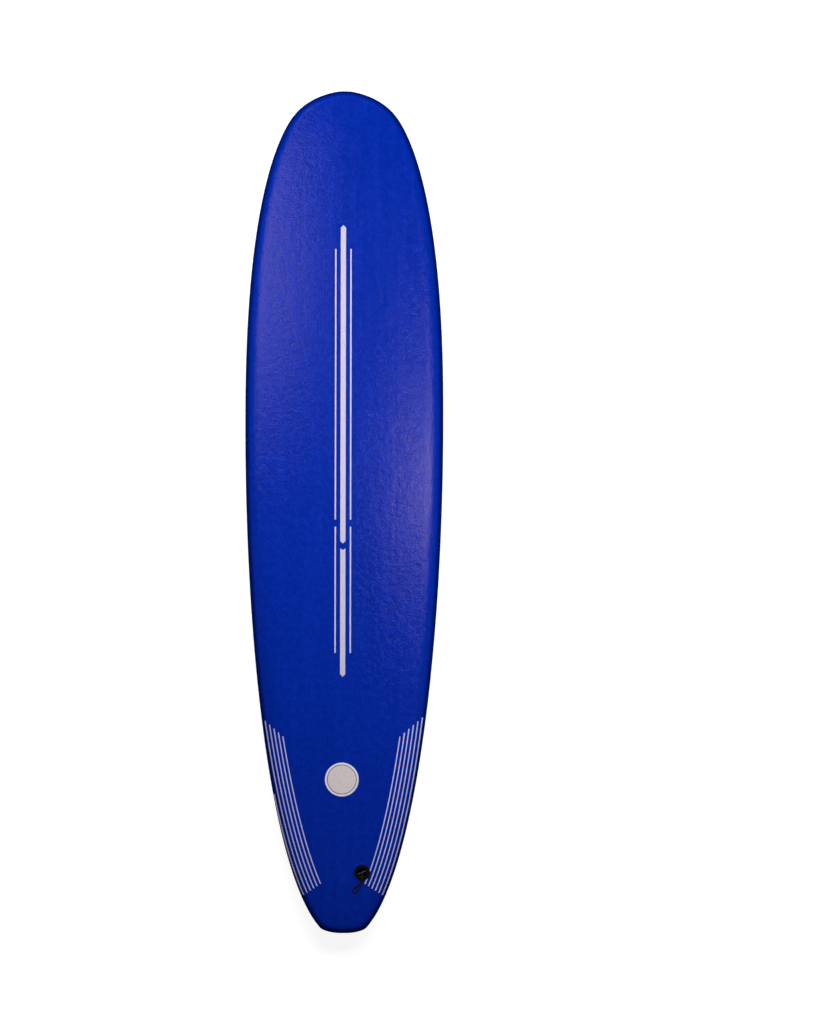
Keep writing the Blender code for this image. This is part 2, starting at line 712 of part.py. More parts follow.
def build():
    clear_scene()
    board = bpy.data.objects.new("surfboard", None)
    bpy.context.scene.collection.objects.link(board)
    rings, tangents = surface_rings()
    normals, tree = surface_normals(rings, tangents)
    blank = make_blank(rings, normals, board)
    skins = make_skins(rings, normals, board)

    side = half_width(HALF_LENGTH - SIDE_FIN_FROM_TAIL) - SIDE_FIN_FROM_EDGE
    centre = make_fin_box("centre", tree, board, 0.0, CENTRE_FIN_FROM_TAIL, 0.0)
    right = make_fin_box("right", tree, board, -side, SIDE_FIN_FROM_TAIL, -SIDE_FIN_TOE_IN)
    left = make_fin_box("left", tree, board, side, SIDE_FIN_FROM_TAIL, SIDE_FIN_TOE_IN)
    for pocket in (centre, right, left):
        cut(skins["bottom_slick"], pocket)
        cut(skins["bottom_backing"], pocket)
    for name in ("stringer_centre", "eps_blank_left_inner", "eps_blank_right_inner"):
        cut(blank[name], centre)
    cut(blank["eps_blank_right_outer"], right)
    cut(blank["eps_blank_left_outer"], left)

    plug = make_leash_plug(tree, board)
    cut(skins["deck_skin"], plug)
    cut(blank["eps_blank_right_inner"], plug)
    make_string(tree, board)


build()
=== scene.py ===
import json
import math

import bpy
from mathutils import Matrix, Vector, kdtree, noise


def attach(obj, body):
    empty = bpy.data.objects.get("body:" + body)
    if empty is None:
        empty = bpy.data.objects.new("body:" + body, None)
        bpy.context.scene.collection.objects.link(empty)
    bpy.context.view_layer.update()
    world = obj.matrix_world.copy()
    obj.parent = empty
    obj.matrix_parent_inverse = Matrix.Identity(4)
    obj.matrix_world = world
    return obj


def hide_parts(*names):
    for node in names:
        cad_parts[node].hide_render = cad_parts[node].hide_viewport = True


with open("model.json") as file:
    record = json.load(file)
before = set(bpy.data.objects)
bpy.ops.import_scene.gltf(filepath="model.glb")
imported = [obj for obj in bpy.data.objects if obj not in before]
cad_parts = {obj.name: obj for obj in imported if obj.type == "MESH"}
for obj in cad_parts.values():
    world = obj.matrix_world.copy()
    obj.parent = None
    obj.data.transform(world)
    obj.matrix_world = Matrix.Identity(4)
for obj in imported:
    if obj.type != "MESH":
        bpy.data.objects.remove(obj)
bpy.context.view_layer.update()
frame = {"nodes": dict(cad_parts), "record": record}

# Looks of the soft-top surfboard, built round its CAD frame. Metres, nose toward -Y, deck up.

print("frame loaded:", len(frame["nodes"]), "CAD nodes")


# Camera: straight above the board, far away behind a long lens, nose up in the picture

cameraSetup = {
    "photoSize": (819, 1024),  # pixels
    "metresPerPixel": 0.002910,  # on the floor
    "boardMiddle": (344.25, 513.0),  # pixel where the middle of the board shows
    "distance": 20.0,
    "farthest": 200.0,  # that it sees
    "lean": 0.12,  # degrees that the nose leans to the right
    "sensor": 36.0,  # millimetres, along the photograph's long side
}


def addObject(name, data):
    made = bpy.data.objects.new(name, data)
    bpy.context.scene.collection.objects.link(made)
    return made


def addCamera():
    wide, high = cameraSetup["photoSize"]
    step = cameraSetup["metresPerPixel"]
    across = (cameraSetup["boardMiddle"][0] - wide / 2) * step
    along = (high / 2 - cameraSetup["boardMiddle"][1]) * step
    data = bpy.data.cameras.new("photoCamera")
    data.sensor_width = cameraSetup["sensor"]
    data.lens = cameraSetup["sensor"] * cameraSetup["distance"] / (high * step)
    data.clip_end = cameraSetup["farthest"]
    camera = addObject("photoCamera", data)
    camera.location = (across, along, cameraSetup["distance"])
    camera.rotation_euler = (0.0, 0.0, math.pi + math.radians(cameraSetup["lean"]))
    bpy.context.scene.camera = camera


addCamera()
print("camera placed")


# Shader maths: a wire is one socket of a material, and sums on wires add their Math nodes

class Wire:
    def __init__(self, tree, socket):
        self.tree = tree
        self.socket = socket

    def node(self, kind, settings, sockets, output=0):
        made = self.tree.nodes.new("ShaderNode" + kind)
        for name, value in settings.items():
            if name == "stops":
                for extra in value[2:]:
                    made.color_ramp.elements.new(1.0)
                for element, (place, tone) in zip(made.color_ramp.elements, value):
                    element.position = place
                    element.color = (*tone, 1.0)
            else:
                setattr(made, name, value)
        for key, value in sockets.items():
            if isinstance(value, Wire):
                self.tree.links.new(value.socket, made.inputs[key])
            else:
                made.inputs[key].default_value = value
        return Wire(self.tree, made.outputs[output])

    def maths(self, operation, first, second):
        return self.node("Math", {"operation": operation}, {0: first, 1: second})

    def __add__(self, other):
        return self.maths("ADD", self, other)

    __radd__ = __add__

    def __sub__(self, other):
        return self.maths("SUBTRACT", self, other)

    def __rsub__(self, other):
        return self.maths("SUBTRACT", other, self)

    def __mul__(self, other):
        return self.maths("MULTIPLY", self, other)

    __rmul__ = __mul__

    def above(self, low, high):
        return self.node("MapRange", {"interpolation_type": "SMOOTHSTEP"},
                         {"Value": self, "From Min": low, "From Max": high})

    def tint(self, low, high):
        # each of the two is a colour or a wire that carries one
        low, high = [tone if isinstance(tone, Wire) else (*tone, 1.0) for tone in (low, high)]
        return self.node("Mix", {"data_type": "RGBA"}, {0: self, 6: low, 7: high}, 2)


def sumOf(wires):
    first, *others = wires
    return sum(others, first)


def newMaterial(name, **sockets):
    material = bpy.data.materials.new(name + "Finish")
    material.use_nodes = True
    tree = material.node_tree
    shader = tree.nodes["Principled BSDF"]
    for key, value in sockets.items():
        socket = shader.inputs[key.replace("_", " ")]
        socket.default_value = (*value, 1.0) if isinstance(value, tuple) else value
    coords = tree.nodes.new("ShaderNodeTexCoord")
    return shader, Wire(tree, coords.outputs["Object"])


def plug(shader, socket, wire):
    wire.tree.links.new(wire.socket, shader.inputs[socket])


def stretched(place, scale, shift=(0.0, 0.0, 0.0)):
    return place.node("Mapping", {}, {"Vector": place, "Location": shift, "Scale": scale})


def distanceFrom(place, spot):
    # from a spot of the board, as seen from above
    moved = stretched(place, (1.0, 1.0, 0.0), (-spot[0], -spot[1], 0.0))
    return moved.node("VectorMath", {"operation": "LENGTH"}, {0: moved}, "Value")


def cellEdges(place, scale):
    # distance to the nearest edge between cells
    return place.node("TexVoronoi", {"feature": "DISTANCE_TO_EDGE"},
                      {"Vector": place, "Scale": scale})


def bumped(height, distance):
    return height.node("Bump", {}, {"Height": height, "Distance": distance})


# Operators

def setMode(mode):
    bpy.ops.object.mode_set(mode=mode)


def deselectAll():
    if bpy.context.object and bpy.context.object.mode != "OBJECT":
        setMode("OBJECT")
    bpy.ops.object.select_all(action="DESELECT")


def makeActive(piece):
    deselectAll()
    piece.select_set(True)
    bpy.context.view_layer.objects.active = piece


def settle(piece):
    # works its place, turn and size into its mesh
    makeActive(piece)
    bpy.ops.object.transform_apply()


def inEditMode(piece, *steps):
    makeActive(piece)
    setMode("EDIT")
    bpy.ops.mesh.select_all(action="SELECT")
    for step in steps:
        step()
    setMode("OBJECT")


def weld():
    bpy.ops.mesh.remove_doubles(threshold=1e-6)


def faceOutward():
    bpy.ops.mesh.normals_make_consistent(inside=False)


def gridPiece(name, across, along):
    deselectAll()
    bpy.ops.mesh.primitive_grid_add(x_subdivisions=across, y_subdivisions=along, size=1.0)
    bpy.context.object.name = name
    return bpy.context.object


def addModifier(piece, kind, **settings):
    modifier = piece.modifiers.new(kind.lower(), kind)
    for name, value in settings.items():
        setattr(modifier, name, value)
    makeActive(piece)
    bpy.ops.object.modifier_apply(modifier=modifier.name)


def roundEdges(piece, width, steps=2, above=30.0):
    addModifier(piece, "BEVEL", width=width, segments=steps, limit_method="ANGLE",
                angle_limit=math.radians(above))


def combine(piece, other, operation):
    addModifier(piece, "BOOLEAN", operation=operation, solver="EXACT", object=other)
    bpy.data.objects.remove(other)


def cutAway(piece, cutter):
    combine(piece, cutter, "DIFFERENCE")


def finishPiece(piece, finish, slot, *nodes, sharp=35.0, flatFaces=False):
    settle(piece)
    bpy.ops.object.shade_smooth_by_angle(angle=math.radians(sharp))
    if flatFaces:  # large faces keep their shading flat, round their edges smooth
        addModifier(piece, "WEIGHTED_NORMAL", keep_sharp=True)
    piece.data.materials.clear()
    piece.data.materials.append(bpy.data.materials[finish + "Finish"])
    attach(piece, "root")
    if nodes:
        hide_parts(*nodes)


# Form of the board, with the same sizes as its CAD source

boardForm = {
    "length": 2.438, "width": 0.5755, "thickness": 0.083,
    "widePointFromNose": 0.950,
    "nose": {"power": 2.306, "fullness": 2.715, "overrun": 0.0017, "capLength": 0.118,
             "capPower": 4.0, "lift": 0.115, "liftPower": 2.4, "flatTo": 0.15, "thickness": 0.036},
    "tail": {"power": 2.02, "fullness": 2.12, "overrun": 0.0189, "capLength": 0.0172,
             "capPower": 2.48, "lift": 0.052, "liftPower": 2.2, "flatTo": 0.20, "thickness": 0.038},
    "foilPower": 3.2,
    "edgeHeight": 0.031, "crown": 0.016,
    "railRun": 0.052, "tuckRun": 0.020,
    "seamDrop": 0.004, "seamGap": 0.0005,
    "bandWidth": 0.0135,
    "skin": 0.005, "slick": 0.0012,
    "spineShare": 0.12, "spinePower": 6,
}
boardMesh = {
    "samples": 1500,  # of the outline, from which its points are picked
    "turnWeight": 0.55,  # metres of outline that count like a turn of one radian
    "outline": 150,  # steps from nose to tail, then those of each region
    "seam": 3, "rail": 16, "deck": 18, "band": 8, "tuck": 6, "bottom": 16,
    "rounding": {"deckFoam": 0.0008, "edgeBand": 0.0006, "slickBottom": 0.0003},
    "roundedAbove": 40.0,  # degrees
}
halfLength = boardForm["length"] / 2


def endOf(y):
    return boardForm["nose" if y < boardForm["widePointFromNose"] - halfLength else "tail"]


def halfWidth(y):
    end = endOf(y)
    if end is boardForm["nose"]:
        distance = y + halfLength
        reach = boardForm["widePointFromNose"]
    else:
        distance = halfLength - y
        reach = boardForm["length"] - boardForm["widePointFromNose"]
    t = max(1.0 - (distance + end["overrun"]) / (reach + end["overrun"]), 0.0)
    share = (1.0 - t ** end["power"]) ** (1.0 / end["fullness"])
    if distance < end["capLength"]:
        cap = 1.0 - distance / end["capLength"]
        share *= max(1.0 - cap ** end["capPower"], 0.0) ** (1.0 / end["capPower"])
    return boardForm["width"] / 2 * share


def rockerAt(y):
    end = boardForm["nose" if y < 0 else "tail"]
    run = max(abs(y) - end["flatTo"], 0.0) / (halfLength - end["flatTo"])
    return end["lift"] * run ** end["liftPower"]


def foilAt(y):
    end = boardForm["nose" if y < 0 else "tail"]
    loss = 1.0 - end["thickness"] / boardForm["thickness"]
    return 1.0 - loss * abs(y / halfLength) ** boardForm["foilPower"]


def evenPoints(points, progress, count):
    # points of a polyline at even steps of its progress
    chosen = []
    k = 0
    for i in range(count + 1):
        wanted = progress[-1] * i / count
        while k < len(points) - 2 and progress[k + 1] < wanted:
            k += 1
        share = (wanted - progress[k]) / (progress[k + 1] - progress[k])
        chosen.append(points[k].lerp(points[k + 1], min(max(share, 0.0), 1.0)))
    return chosen


def outlinePoints(count):
    # left edge from nose to tail, even over its length plus its turning
    samples = boardMesh["samples"]
    fine = [Vector((0.0, -halfLength))]
    for k in range(1, samples):
        y = -halfLength * math.cos(math.pi * k / samples)
        fine.append(Vector((halfWidth(y), y)))
    fine.append(Vector((0.0, halfLength)))
    progress = [0.0]
    heading = Vector((1.0, 0.0))
    for a, b in zip(fine, fine[1:]):
        turning = abs(heading.angle(b - a, 0.0))
        progress.append(progress[-1] + (b - a).length + boardMesh["turnWeight"] * turning)
        heading = b - a
    return evenPoints(fine, progress, count)


# Soft waves that the foam skin keeps from being laminated by hand

foamWaves = {
    "long": {"height": 0.00022, "across": 8.0, "along": 2.6, "layer": 1.7},
    "short": {"height": 0.00008, "across": 30.0, "along": 11.0, "layer": 5.3},
}


def foamWave(x, y):
    total = 0.0
    for wave in foamWaves.values():
        place = Vector((x * wave["across"], y * wave["along"], wave["layer"]))
        total += wave["height"] * noise.noise(place)
    return total


def surfacePoint(edge, region, value):
    # a point of the outer surface, on the line from an outline point to the spine
    form = boardForm
    spineY = edge.y * (1.0 - form["spineShare"] * abs(edge.y / halfLength) ** form["spinePower"])
    spine = Vector((0.0, spineY))
    reach = (spine - edge).length
    railRun = form["railRun"] * foilAt(edge.y)
    if region == "deck":
        inset = railRun + value * (reach - railRun)
    elif region == "rail":
        inset = railRun * (1.0 - math.cos(value))
    elif region == "tuck":
        inset = form["tuckRun"] * (1.0 - math.cos(value))
    else:
        inset = form["tuckRun"] + value * (reach - form["tuckRun"])
    place = edge.lerp(spine, inset / reach)
    wave = 0.0
    if region in ("deck", "rail"):
        rise = 1.0 if region == "deck" else math.sin(value)
        crown = 1.0 - (1.0 - inset / reach) ** 2
        side = form["thickness"] - form["edgeHeight"] - form["crown"]
        height = form["edgeHeight"] + side * rise + form["crown"] * crown
        wave = rise * foamWave(place.x, place.y)
    else:
        fall = 1.0 if region == "bottom" else math.sin(value)
        height = form["edgeHeight"] * (1.0 - fall)
    return Vector((place.x, place.y, rockerAt(place.y) + foilAt(place.y) * height + wave))


def seamAngles(edgeY):
    # where the deck skin ends, and where the edge band starts and ends, round the tuck
    height = boardForm["edgeHeight"] * foilAt(edgeY)
    run = boardForm["tuckRun"]
    seam = math.asin(min(boardForm["seamDrop"] / height, 1.0))
    bandEnd = math.acos(1.0 - boardForm["bandWidth"] / run)

    def past(angle):
        return angle + boardForm["seamGap"] / math.hypot(run * math.sin(angle),
                                                         height * math.cos(angle))
    return seam, past(seam), bandEnd, past(bandEnd)


def between(region, start, end, count, first=0):
    return [(region, start + (end - start) * k / count) for k in range(first, count + 1)]


def deckColumns(edgeY):
    seam = seamAngles(edgeY)[0]
    return (between("tuck", seam, 0.0, boardMesh["seam"])
            + between("rail", 0.0, math.pi / 2, boardMesh["rail"], first=1)
            + between("deck", 0.0, 1.0, boardMesh["deck"], first=1))


def bandColumns(edgeY):
    angles = seamAngles(edgeY)
    return between("tuck", angles[1], angles[2], boardMesh["band"])


def slickColumns(edgeY):
    return (between("tuck", seamAngles(edgeY)[3], math.pi / 2, boardMesh["tuck"])
            + between("bottom", 0.0, 1.0, boardMesh["bottom"], first=1))


edgePoints = outlinePoints(boardMesh["outline"])


def wrapSheet(name, columnsAt, thickness):
    # a grid whose long side runs once round the outline, folded onto the board's surface
    steps = boardMesh["outline"]
    around = 2 * steps
    piece = gridPiece(name, around, len(columnsAt(0.0)) - 1)
    points = [[surfacePoint(edge, *column) for column in columnsAt(edge.y)] for edge in edgePoints]
    for vertex in piece.data.vertices:
        column, ring = divmod(vertex.index, around + 1)
        point = points[min(ring, around - ring)][column]
        vertex.co = point if ring <= steps else point * Vector((-1.0, 1.0, 1.0))
    inEditMode(piece, weld, faceOutward)
    addModifier(piece, "SOLIDIFY", thickness=thickness, offset=-1.0, use_even_offset=True)
    roundEdges(piece, boardMesh["rounding"][name], above=boardMesh["roundedAbove"])
    return piece


deckPiece = wrapSheet("deckFoam", deckColumns, boardForm["skin"])
bandPiece = wrapSheet("edgeBand", bandColumns, boardForm["skin"])
slickPiece = wrapSheet("slickBottom", slickColumns, boardForm["slick"])
print("skins wrapped")


def onDeck(x, y):
    # point of the deck at that place, as seen from above
    return deckPiece.ray_cast(Vector((x, y, 1.0)), Vector((0.0, 0.0, -1.0)))[1]


# String of the leash plug: its route from the plug's middle, in metres, toward the left rail,
# toward the tail, and up from the deck

string = {
    "diameter": 0.0035,
    "length": 0.155,
    "route": [
        (-0.0022, -0.0030, -0.0093), (-0.0022, 0.0000, -0.0093), (-0.0022, 0.0037, -0.0083),
        (-0.0021, 0.0065, -0.0056), (-0.0020, 0.0098, 0.0001), (-0.0020, 0.0114, 0.0021),
        (-0.0020, 0.0136, 0.0034), (-0.0019, 0.0163, 0.0038), (-0.0017, 0.0215, 0.0038),
        (-0.0012, 0.0250, 0.0034), (0.0002, 0.0292, 0.0026), (0.0026, 0.0336, 0.0022),
        (0.0055, 0.0384, 0.0022), (0.0117, 0.0490, 0.0022), (0.0142, 0.0534, 0.0022),
        (0.0162, 0.0556, 0.0022), (0.0187, 0.0568, 0.0022), (0.0214, 0.0569, 0.0022),
        (0.0240, 0.0559, 0.0022), (0.0261, 0.0540, 0.0022), (0.0272, 0.0514, 0.0022),
        (0.0272, 0.0486, 0.0022), (0.0260, 0.0460, 0.0022), (0.0239, 0.0440, 0.0022),
        (0.0198, 0.0414, 0.0022), (0.0115, 0.0363, 0.0022), (0.0082, 0.0336, 0.0022),
        (0.0059, 0.0308, 0.0023), (0.0045, 0.0277, 0.0029), (0.0037, 0.0244, 0.0035),
        (0.0032, 0.0210, 0.0038), (0.0026, 0.0163, 0.0038), (0.0025, 0.0136, 0.0034),
        (0.0024, 0.0114, 0.0021), (0.0023, 0.0098, 0.0001), (0.0022, 0.0065, -0.0056),
        (0.0022, 0.0037, -0.0083), (0.0022, 0.0000, -0.0093), (0.0022, -0.0030, -0.0093),
    ],
    "curveSteps": 16,  # between two points of the route
    "stepLength": 0.0004,
    "sides": 48,
    "strands": 8,  # diamonds of the braid, once round
    "strandLength": 0.0023,  # of a diamond, along the string
    "strandHeight": 0.00028,
}
leashPlug = {
    "at": (-0.055, 1.042),
    "turn": 24.0,
    "mountAt": (0.0, -0.018, 0.0016),  # the record's mount, from the plug's middle
    "flange": 0.046, "flangeThickness": 0.0032, "proud": 0.0016,
    "barrel": 0.034, "depth": 0.024, "bore": 0.026, "floor": 0.0035,
    "profile": [  # a wall and a level of the cup, then points out and up from there
        ("barrel", "bottom", (-0.0014, 0.0), (0.0, 0.0014), (0.0, 0.0036), (-0.0012, 0.0048)),
        ("barrel", "deck", (-0.0012, -0.0135), (0.0, -0.0125)),
        ("barrel", "seat", (0.0, 0.0)),
        ("flange", "seat", (0.0, 0.0)),
        ("flange", "top", (0.0, -0.0012), (-0.0004, -0.0004), (-0.0014, 0.0), (-0.0040, 0.0),
         (-0.0043, -0.0004), (-0.0049, -0.0004), (-0.0052, 0.0)),
        ("bore", "top", (0.0016, 0.0), (0.0005, -0.0004), (0.0, -0.0016)),
        ("bore", "floor", (0.0, 0.0012), (-0.0004, 0.0004), (-0.0014, 0.0)),
        ("axis", "floor", (0.0050, 0.0), (0.0044, 0.0006), (0.0022, 0.0006)),
    ],
    "sides": 64,
    "bar": 0.004, "barDrop": 0.0045, "barSocket": 0.0028, "barEdge": 0.0004, "barSides": 32,
    "gap": 0.0003,
    "cutTo": 0.02,  # height that its pocket is cut up to
}


def smoothThrough(points, steps, stepLength):
    # even points along a curve through the given ones
    ends = [2 * points[0] - points[1]] + points + [2 * points[-1] - points[-2]]
    fine = []
    for a, b, c, d in zip(ends, ends[1:], ends[2:], ends[3:]):
        for k in range(steps):
            t = k / steps
            fine.append(0.5 * (2 * b + (c - a) * t + (2 * a - 5 * b + 4 * c - d) * t ** 2
                               + (3 * b - a - 3 * c + d) * t ** 3))
    fine.append(points[-1])
    run = [0.0]
    for a, b in zip(fine, fine[1:]):
        run.append(run[-1] + (b - a).length)
    return evenPoints(fine, run, round(run[-1] / stepLength))


def makeString():
    size = string
    x, y = leashPlug["at"]
    points = [onDeck(x + left, y + back) + Vector((0.0, 0.0, up))
              for left, back, up in size["route"]]
    places = smoothThrough(points, size["curveSteps"], size["stepLength"])
    stations = len(places) - 1
    piece = gridPiece("leashString", size["sides"], stations)
    side = Vector((1.0, 0.0, 0.0))
    frames = []
    for k in range(stations + 1):
        along = (places[min(k + 1, stations)] - places[max(k - 1, 0)]).normalized()
        side = (side - along * side.dot(along)).normalized()
        frames.append((side, along.cross(side)))
    for vertex in piece.data.vertices:
        row, column = divmod(vertex.index, size["sides"] + 1)
        turn = column / size["sides"]
        wound, rise = size["strands"] * turn, row * size["stepLength"] / size["strandLength"]
        plump = abs(math.sin(math.pi * (wound + rise)) * math.sin(math.pi * (wound - rise)))
        radius = size["diameter"] / 2 - size["strandHeight"] * (1.0 - plump)
        vertex.co = places[row] + radius * (frames[row][0] * math.cos(2 * math.pi * turn)
                                            + frames[row][1] * math.sin(2 * math.pi * turn))
    inEditMode(piece, weld, lambda: bpy.ops.mesh.fill_holes(sides=0), faceOutward)
    length = sum((b - a).length for a, b in zip(places, places[1:]))
    print("string is", round(length, 4), "m long")
    return piece, places


stringPiece, stringPath = makeString()


# Prints: thin sheets of ink laid on the skins

ink = {"lift": 0.00016, "thickness": 0.00030, "stripeStep": 0.008}
deckStripes = {
    "middle": 0.003,
    "wide": [
        {"half": 0.0075, "start": (-0.8331, -0.8250), "end": (0.0888, 0.0815)},
        {"half": 0.0075, "start": (0.1079, 0.1024), "end": (0.4752, 0.4672)},
    ],
    "fine": [
        {"half": 0.0020, "start": (-0.7642, -0.7642), "end": (0.0194, 0.0194)},
        {"half": 0.0020, "start": (0.0399, 0.0399), "end": (0.4058, 0.4058)},
    ],
    "fineOffset": 0.0220,
}
bottomStripes = {
    "middle": 0.0,
    "wide": [{"half": 0.00745, "start": (-0.8598, -0.8508), "end": (0.0580, 0.0490)}],
    "fine": [{"half": 0.00205, "start": (-0.7911, -0.7911), "end": (-0.0104, -0.0104)}],
    "fineOffset": 0.0219,
}
tailLines = {
    "half": 0.0017,
    "start": (0.648, -0.011),  # innermost line, then the change to each next one
    "end": (1.075, 0.0065),
    "left": {"inset": (0.0554, 0.0663), "pitch": (0.0113, 0.0115)},
    "right": {"inset": (0.0676, 0.0684), "pitch": (0.0114, 0.0117)},
    "count": 6,
    "nearestEdge": 0.0032,  # a line starts no nearer to the outline
    "steps": 64,
}
badge = {
    "at": (0.0046, 0.7726),
    "radius": 0.049,
    "ringRadius": 0.042, "ringWidth": 0.0018,
    "ringLift": 0.00004,  # over the plate's ink
    "plateSteps": 10, "ringSteps": 2, "sides": 96,
    "field": (0.84, 0.74, 0.76), "border": (0.90, 0.86, 0.96), "borderBlur": 0.0004,
    "creaseShade": (0.8, 0.8, 0.8), "creaseSpan": (-0.6, 0.7),  # painted shade in the grain's creases: what it leaves of the colour
    "roughness": 0.42, "specular": 0.3, "relief": 0.00018,
}


def inkPatch(name, across, along, place):
    # a flat grid, its corners placed by how far they are across (-1 to 1) and along (0 to 1)
    patch = gridPiece(name, across, along)
    for vertex in patch.data.vertices:
        row, column = divmod(vertex.index, across + 1)
        vertex.co = (*place(column / across * 2 - 1, row / along), 0.0)
    return patch


def joined(name, patches):
    makeActive(patches[0])
    for patch in patches:
        patch.select_set(True)
    bpy.ops.object.join()
    bpy.context.object.name = name
    return bpy.context.object


def layInk(patch, skin, extra=0.0):
    up = skin is deckPiece
    patch.location.z = 1.0 if up else -1.0
    settle(patch)
    inEditMode(patch, weld)
    addModifier(patch, "SHRINKWRAP", target=skin, wrap_method="PROJECT", wrap_mode="ABOVE_SURFACE",
                use_project_z=True, use_positive_direction=not up, use_negative_direction=up,
                offset=ink["lift"] + extra)
    addModifier(patch, "SOLIDIFY", thickness=ink["thickness"], offset=-1.0 if up else 1.0)
    inEditMode(patch, faceOutward)
    return patch


def stripePatch(middle, strip):
    def place(across, along):
        first, last = [inner + abs(across) * (outer - inner)
                       for inner, outer in (strip["start"], strip["end"])]
        return middle + across * strip["half"], first + along * (last - first)
    steps = round((strip["end"][0] - strip["start"][0]) / ink["stripeStep"])
    return inkPatch("stripe", 2, steps, place)


def stripePrint(name, stripes, skin):
    patches = [stripePatch(stripes["middle"], strip) for strip in stripes["wide"]]
    for side in (-1, 1):
        patches += [stripePatch(stripes["middle"] + side * stripes["fineOffset"], strip)
                    for strip in stripes["fine"]]
    return layInk(joined(name, patches), skin)


def insetPoint(y, inset):
    # distance from the centreline of the point at that inset from the edge, as far back as y
    near = 0.001
    station = y
    for repeat in range(4):
        slope = (halfWidth(station + near) - halfWidth(station - near)) / (2 * near)
        norm = math.hypot(1.0, slope)
        station = y - inset * slope / norm
    return halfWidth(station) - inset / norm


def tailPrint(name, side):
    lines = tailLines["left" if side > 0 else "right"]
    patches = []
    for k in range(tailLines["count"]):
        first, last = [lines["inset"][end] - k * lines["pitch"][end] for end in (0, 1)]
        begin = 0.0
        if first < last:
            begin = max((tailLines["nearestEdge"] - first) / (last - first), 0.0)

        def place(across, along):
            along = begin + (1.0 - begin) * along
            front = tailLines["start"][0] + k * tailLines["start"][1]
            back = tailLines["end"][0] + k * tailLines["end"][1]
            y = front + along * (back - front)
            inset = first + along * (last - first) - side * across * tailLines["half"]
            return side * insetPoint(y, inset), y
        patches.append(inkPatch("line", 2, tailLines["steps"], place))
    return layInk(joined(name, patches), deckPiece)


def roundPrint(name, inner, outer, steps, extra):
    def place(across, along):
        radius = inner + (across + 1) / 2 * (outer - inner)
        return (badge["at"][0] + radius * math.sin(2 * math.pi * along),
                badge["at"][1] + radius * math.cos(2 * math.pi * along))
    return layInk(inkPatch(name, steps, badge["sides"], place), deckPiece, extra)


ring, halfRing = badge["ringRadius"], badge["ringWidth"] / 2
deckStripesPiece = stripePrint("deckStripes", deckStripes, deckPiece)
tailLinesLeft = tailPrint("tailLinesLeft", 1)
tailLinesRight = tailPrint("tailLinesRight", -1)
badgePlate = roundPrint("badgePlate", 0.0, badge["radius"], badge["plateSteps"], 0.0)
badgeRing = roundPrint("badgeRing", ring - halfRing, ring + halfRing, badge["ringSteps"],
                       badge["ringLift"])
bottomInkPiece = stripePrint("bottomStripes", bottomStripes, slickPiece)
print("prints laid")


# Frames of the fittings, from the mounts of the record

def fittingFrame(mount, turn, mountAt=(0.0, 0.0, 0.0)):
    # its Z leaves the surface and its Y runs toward the tail, both before the turn
    record = next(m for m in frame["record"]["mounts"] if m["name"] == mount)
    zAxis = Vector(record["axis"]).normalized()
    yAxis = Vector((0.0, abs(zAxis.z), -zAxis.y * math.copysign(1.0, zAxis.z))).normalized()
    xAxis = yAxis.cross(zAxis)
    made = Matrix((xAxis, yAxis, zAxis)).transposed().to_4x4()
    made @= Matrix.Rotation(math.radians(turn), 4, "Z")
    made.translation = Vector(record["pos_m"]) - made.to_3x3() @ Vector(mountAt)
    return made


def putAt(piece, matrix):
    piece.matrix_world = matrix
    settle(piece)


def turnedPiece(name, profile, sides):
    # a ring extruded and resized from one (radius, height) to the next
    deselectAll()
    bpy.ops.mesh.primitive_circle_add(vertices=sides, radius=profile[0][0], fill_type="NGON",
                                      location=(0.0, 0.0, 0.0))
    piece = bpy.context.object
    piece.name = name
    setMode("EDIT")
    bpy.ops.mesh.select_all(action="SELECT")
    bpy.ops.transform.translate(value=(0.0, 0.0, profile[0][1]))
    bpy.ops.mesh.select_mode(type="EDGE")
    for (radius, height), (nextRadius, nextHeight) in zip(profile, profile[1:]):
        bpy.ops.mesh.extrude_region_move(
            TRANSFORM_OT_translate={"value": (0.0, 0.0, nextHeight - height)})
        bpy.ops.transform.resize(value=(nextRadius / radius, nextRadius / radius, 1.0))
    setMode("OBJECT")
    inEditMode(piece, faceOutward)
    return piece


def rod(sides, radius, length, middle=0.0, tilt=0.0):
    # a cylinder with its middle on the Z axis, tilted about Y
    deselectAll()
    bpy.ops.mesh.primitive_cylinder_add(vertices=sides, radius=radius, depth=length,
                                        location=(0.0, 0.0, middle), rotation=(0.0, tilt, 0.0))
    bpy.ops.object.transform_apply()
    return bpy.context.object


def pick(piece, kind, test):
    # selects the edges or faces that pass a test of their corners' places
    deselectAll()
    mesh = piece.data
    for group in (mesh.vertices, mesh.edges, mesh.polygons):
        group.foreach_set("select", [False] * len(group))
    for item in mesh.edges if kind == "EDGE" else mesh.polygons:
        item.select = test([mesh.vertices[k].co for k in item.vertices])
    makeActive(piece)
    setMode("EDIT")
    bpy.ops.mesh.select_mode(type=kind)


def roundedBar(name, length, width, corner, low, high, y=0.0, steps=8):
    # a block with its standing edges rounded, by a hair less than the corner so that two never meet
    cornerShare = 0.9995
    deselectAll()
    bpy.ops.mesh.primitive_cube_add(size=1.0, location=(0.0, y, (low + high) / 2),
                                    scale=(width, length, high - low))
    piece = bpy.context.object
    piece.name = name
    bpy.ops.object.transform_apply()
    pick(piece, "EDGE", lambda ends: abs(ends[0].z - ends[1].z) > 1e-6)
    bpy.ops.mesh.bevel(offset=corner * cornerShare, segments=steps, affect="EDGES")
    bpy.ops.mesh.select_all(action="SELECT")
    bpy.ops.mesh.remove_doubles(threshold=1e-5)
    setMode("OBJECT")
    return piece


def copyOf(piece, name):
    return addObject(name, piece.data.copy())


# Leash plug: ridged cup pressed into the foam, with a steel bar across its mouth

